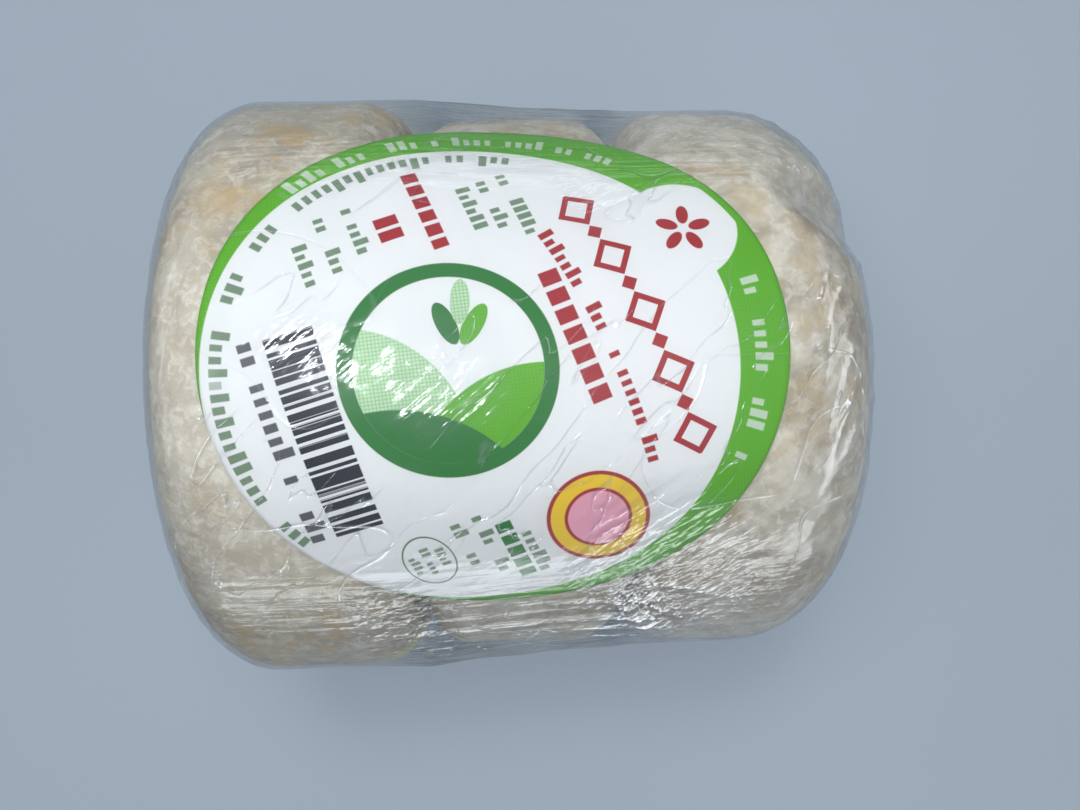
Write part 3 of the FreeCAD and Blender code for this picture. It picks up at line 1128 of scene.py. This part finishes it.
@dataclass
class Film:
    """Tight skin of film round the row, with tension lines, folds and gathers."""

    row: Row
    turns: int = 420
    spacing: float = 0.55 * MM
    inset: float = 0.13 * MM
    gathers: int = 13
    gather_fan: float = math.radians(118.0)
    gather_reach: float = 27.0 * MM
    gather_height: float = 0.65 * MM
    deepest: float = 0.05 * MM
    end_haze: float = 1.5
    side_haze: float = 0.9

    def _corners(self) -> list[Bend]:
        """Outline of the skin along the row.

        Returns:
            The outline's corners, from the left end to the right.
        """
        row, out = self.row, self.row.film_offset - self.inset
        left, right = row.left_face - out, row.right_face + out
        tall, low = row.left_radius + out - 0.1 * MM, row.right_radius + out - 0.1 * MM
        return [Bend(left - row.face_swell, 0.0), Bend(left, tall, row.left_edge + out, 14),
                Bend(row.left_face / 3, tall), Bend(0.0, (tall + low) / 2 - row.waist, 6 * MM, 8),
                Bend(row.right_face / 3, low), Bend(right, low, row.right_edge + out, 18),
                Bend(right + row.face_swell, 0.0)]

    def _tension(self, along: float, angle: float) -> float:
        """Height of the fine lines that run along the row where the film bridges the middle cheese.

        Args:
            along: Place along the row's axis.
            angle: Angle about it, from straight up.

        Returns:
            The height.
        """
        reach = smooth_step(abs(along + 1.0 * MM), 19.0 * MM, 6.0 * MM)
        front = smooth_step(angle, math.radians(-35.0), math.radians(-52.0))
        back = smooth_step(angle, math.radians(48.0), math.radians(62.0))
        where = Vector((along / (26.0 * MM), angle * 17.0 + along / (40.0 * MM), 3.0))
        return (0.42 * front + 0.22 * back + 0.02) * MM * reach * (ridged(where, 2) - 0.35)

    def _fan(self, along: float, angle: float) -> float:
        """Height of the fan of folds below the label's lower right rim.

        Args:
            along: Place along the row's axis.
            angle: Angle about it, from straight up.

        Returns:
            The height.
        """
        around = angle * self.row.right_radius
        right, up = along - 6.0 * MM, around + 18.5 * MM
        reach, spread = math.hypot(right, up), math.atan2(up, right)
        inside = smooth_step(reach, 1.5 * MM, 4.0 * MM) * smooth_step(reach, 17.0 * MM, 9.0 * MM)
        width = smooth_step(abs(spread + 0.72), 0.62, 0.30)
        wave = ridged(Vector((reach / (30.0 * MM), spread * 7.0, 8.0)), 1)
        return 0.75 * MM * inside * width * (wave - 0.35)

    def _flank(self, along: float, angle: float) -> float:
        """Height of the soft slanting creases on the outer edges.

        Args:
            along: Place along the row's axis.
            angle: Angle about it, from straight up.

        Returns:
            The height.
        """
        around = angle * self.row.right_radius
        right = smooth_step(along, 20.0 * MM, 26.0 * MM)
        left = smooth_step(along, -22.0 * MM, -27.0 * MM)
        slant = Vector(((along - around * 0.55) / (2.1 * MM), (along * 0.55 + around) / (11.0 * MM), 5.0))
        return 0.26 * MM * max(right, 0.5 * left) * (ridged(slant, 2) - 0.4)

    def _gather(self, point: Vector) -> float:
        """Height of the gathers that fan up each end face from under the pack.

        Args:
            point: Place on the skin, in the row's own axes.

        Returns:
            The height.
        """
        radius = self.row.left_radius if point.x < 0 else self.row.right_radius
        height = point.z + radius
        reach, spread = math.hypot(point.y, height), math.atan2(point.y, height)
        if abs(spread) > self.gather_fan * 0.56 or reach > self.gather_reach:
            return 0.0
        step = self.gather_fan / (self.gathers - 1)
        place = spread / step + 0.25 * noise.noise(Vector((spread * 3.0, reach / (9.0 * MM), 1.0)))
        ridge = abs((place + 0.5) % 1.0 - 0.5) * 2.0
        pleat = Vector((round(place) * 1.7, math.copysign(3.0, point.x), 0.5))
        uneven = 0.6 + 0.8 * noise.noise(pleat)
        fade = smooth_step(reach, self.gather_reach * (0.6 + 0.5 * uneven), 0.30 * self.gather_reach)
        return self.gather_height * uneven * fade * smooth_step(ridge, 0.8, 0.0)

    def _relief(self, point: Vector) -> float:
        """Height of all the lines, folds, creases and gathers together.

        Args:
            point: Place on the skin, in the row's own axes.

        Returns:
            The height.
        """
        angle = math.atan2(point.y, point.z)
        rim = math.hypot(point.y, point.z) / self.row.right_radius
        shown = smooth_step(rim, 0.55, 0.8)
        drawn = self._tension(point.x, angle) + self._fan(point.x, angle) + self._flank(point.x, angle)
        height = max(shown * drawn + 0.06 * MM * noise.noise(point / (6.0 * MM)), -self.deepest)
        if abs(point.x) > 0.9 * self.row.right_face:
            height += self._gather(point)
        return height

    def build(self) -> bpy.types.Object:
        """Models the skin and puts it in place.

        Returns:
            The piece.
        """
        made = turned_mesh(self._corners(), self.turns, lambda point: self.spacing)
        made.normal_update()
        low, high = CAD_BOX
        folded = made.verts.layers.float.new(FOLD)
        moves = [(vertex, vertex.normal.copy(), self._relief(vertex.co)) for vertex in made.verts]
        for vertex, outwards, relief in moves:
            haze = self.end_haze if abs(vertex.co.x) > 0.9 * self.row.right_face else self.side_haze
            vertex[folded] = min(max(haze * relief / self.gather_height, 0.0), 1.0)
            moved = self.row.pressed(vertex.co, self.row.film_offset - self.inset) + outwards * relief
            placed = self.row.to_place @ moved
            vertex.co = [min(max(value, least), most) for value, least, most in zip(placed, low, high)]
        return to_object(made, "film_skin", FilmFinish().material())


# ---- the room


COOL = (0.975, 0.985, 1.0)
WHITE = (1.0, 1.0, 1.0)


@dataclass(frozen=True)
class Lamp:
    """A rectangular lamp: its place, its two sides, its power in watts and what shows it."""

    name: str
    place: tuple[float, float, float]
    size: tuple[float, float]
    power: float
    colour: Colour = WHITE
    mirrored: bool = True
    lighting: bool = True

    def hang(self, target: Vector) -> None:
        """Adds the lamp to the scene.

        Args:
            target: Point that it is turned to.
        """
        data = bpy.data.lights.new(self.name, "AREA")
        data.shape, data.size, data.size_y = "RECTANGLE", *self.size
        data.energy, data.color = self.power, self.colour
        lamp = bpy.data.objects.new(self.name, data)
        lamp.location = self.place
        lamp.visible_camera = False
        lamp.visible_glossy = self.mirrored
        lamp.visible_diffuse = self.lighting
        lamp.rotation_euler = (target - Vector(self.place)).to_track_quat("-Z", "Y").to_euler()
        bpy.context.scene.collection.objects.link(lamp)


LAMPS = (
    Lamp("overhead", (-0.009, 0.014, 0.138), (0.03, 0.03), 0.031, mirrored=False),
    Lamp("key", (-0.02, 0.17, 0.38), (0.09, 0.07), 0.24, mirrored=False),
    Lamp("sky", (0.1, 0.2, 1.6), (2.4, 2.4), 2.2, COOL),
    Lamp("fill", (0.3, -0.9, 0.5), (0.8, 0.5), 1.3, COOL, mirrored=False),
    Lamp("left_side", (-1.5, 0.30, 0.36), (1.0, 0.7), 5.0, COOL, mirrored=False),
    Lamp("right_side", (1.5, -0.20, 0.36), (1.0, 0.7), 5.0, COOL, mirrored=False),
    Lamp("back_side", (0.20, 1.60, 0.36), (1.0, 0.7), 4.4, COOL, mirrored=False),
    Lamp("glint", (-0.045, 0.030, 0.60), (0.08, 0.06), 0.9),
    Lamp("front_strip", (0.05, -0.45, 0.12), (0.7, 0.13), 1.3, lighting=False),
    Lamp("right_strip", (0.50, -0.05, 0.16), (0.6, 0.14), 1.0, lighting=False),
    Lamp("left_strip", (-0.55, 0.10, 0.12), (0.5, 0.08), 0.2, lighting=False),
    Lamp("back_strip", (0.05, 0.60, 0.10), (0.6, 0.08), 0.3, lighting=False),
)


@dataclass
class Studio:
    """Pale floor, soft lamps and the camera above the pack."""

    floor_size: float = 8.0
    world_light: float = 0.32
    world_seen: float = 0.62
    world_colour: Colour = srgb(0.94, 0.965, 1.0)
    lamps: tuple[Lamp, ...] = LAMPS
    lit_height: float = 0.03
    camera_place: tuple[float, float, float] = (0.00218, -0.00271, 0.1291)
    camera_turn: float = math.radians(-1.5)
    lens: float = 28.87
    floor_colour: Colour = srgb(0.63, 0.68, 0.73)
    floor_cloud: Colour = srgb(0.60, 0.65, 0.71)

    def _floor(self) -> None:
        """Lays the floor."""
        made = bmesh.new()
        bmesh.ops.create_grid(made, x_segments=2, y_segments=2, size=self.floor_size / 2)
        graph = Graph("pale_floor")
        cloud = graph.noise(9.0, 2.0)
        colour = graph.blend(cloud * 0.15, self.floor_colour, self.floor_cloud)
        shader = graph.node("ShaderNodeBsdfPrincipled", None, {"Base Color": colour, "Roughness": 0.8})
        floor = to_object(made, "floor", graph.finish(shader))

    def _world(self) -> None:
        """Gives the world a soft cool light, and a paler look to the camera and to mirroring surfaces."""
        graph = Backdrop("soft_room")
        path = graph.node("ShaderNodeLightPath")
        seen = Value(graph, path.outputs["Is Camera Ray"]).most(Value(graph, path.outputs["Is Glossy Ray"]))
        seen = seen.most(Value(graph, path.outputs["Is Transmission Ray"]))
        strength = seen * (self.world_seen - self.world_light) + self.world_light
        inputs = {"Color": self.world_colour, "Strength": strength}
        backdrop = graph.node("ShaderNodeBackground", None, inputs)
        graph.node("ShaderNodeOutputWorld", None, {"Surface": backdrop.outputs[0]})

    def build(self) -> None:
        """Sets up floor, lamps, world and camera."""
        self._floor()
        self._world()
        for lamp in self.lamps:
            lamp.hang(Vector((0.0, 0.0, self.lit_height)))
        scene = bpy.context.scene
        data = bpy.data.cameras.new("camera")
        data.lens, data.sensor_width, data.clip_start = self.lens, 36.0, 0.005
        camera = bpy.data.objects.new("camera", data)
        camera.location = self.camera_place
        camera.rotation_euler = (0.0, 0.0, self.camera_turn)
        scene.collection.objects.link(camera)
        scene.camera = camera
        scene.view_settings.view_transform = "Standard"


# ---- main


def main() -> None:
    """Builds every piece in order."""
    logging.basicConfig(level=logging.INFO, format="%(name)s: %(message)s")
    Studio().build()
    row = Row()
    finishes = {
        Disc.LEFT: RindFinish("rind_left", srgb(0.75, 0.72, 0.645), stain=0.9, seed=0.11,
                              soft_spot=(-13.6 * MM, -28.4 * MM, 38.0 * MM)),
        Disc.MIDDLE: RindFinish("rind_middle", srgb(0.79, 0.77, 0.70), stain=0.5, seed=0.37),
        Disc.RIGHT: RindFinish("rind_right", stain=0.5, seed=0.59),
    }
    for index, (disc, finish) in enumerate(finishes.items()):
        rind = Cheese(row, disc, finish, seed=0.31 * (index + 1)).build()
        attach(rind, "root")
        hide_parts(disc.value)
        LOG.info("%s: %d faces", rind.name, len(rind.data.polygons))
    label = Label(row).build()
    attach(label, "root")
    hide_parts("label")
    LOG.info("%s: %d faces", label.name, len(label.data.polygons))
    film = Film(row).build()
    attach(film, "root")
    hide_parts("film")
    LOG.info("%s: %d faces", film.name, len(film.data.polygons))


if __name__ == "__main__":
    main()
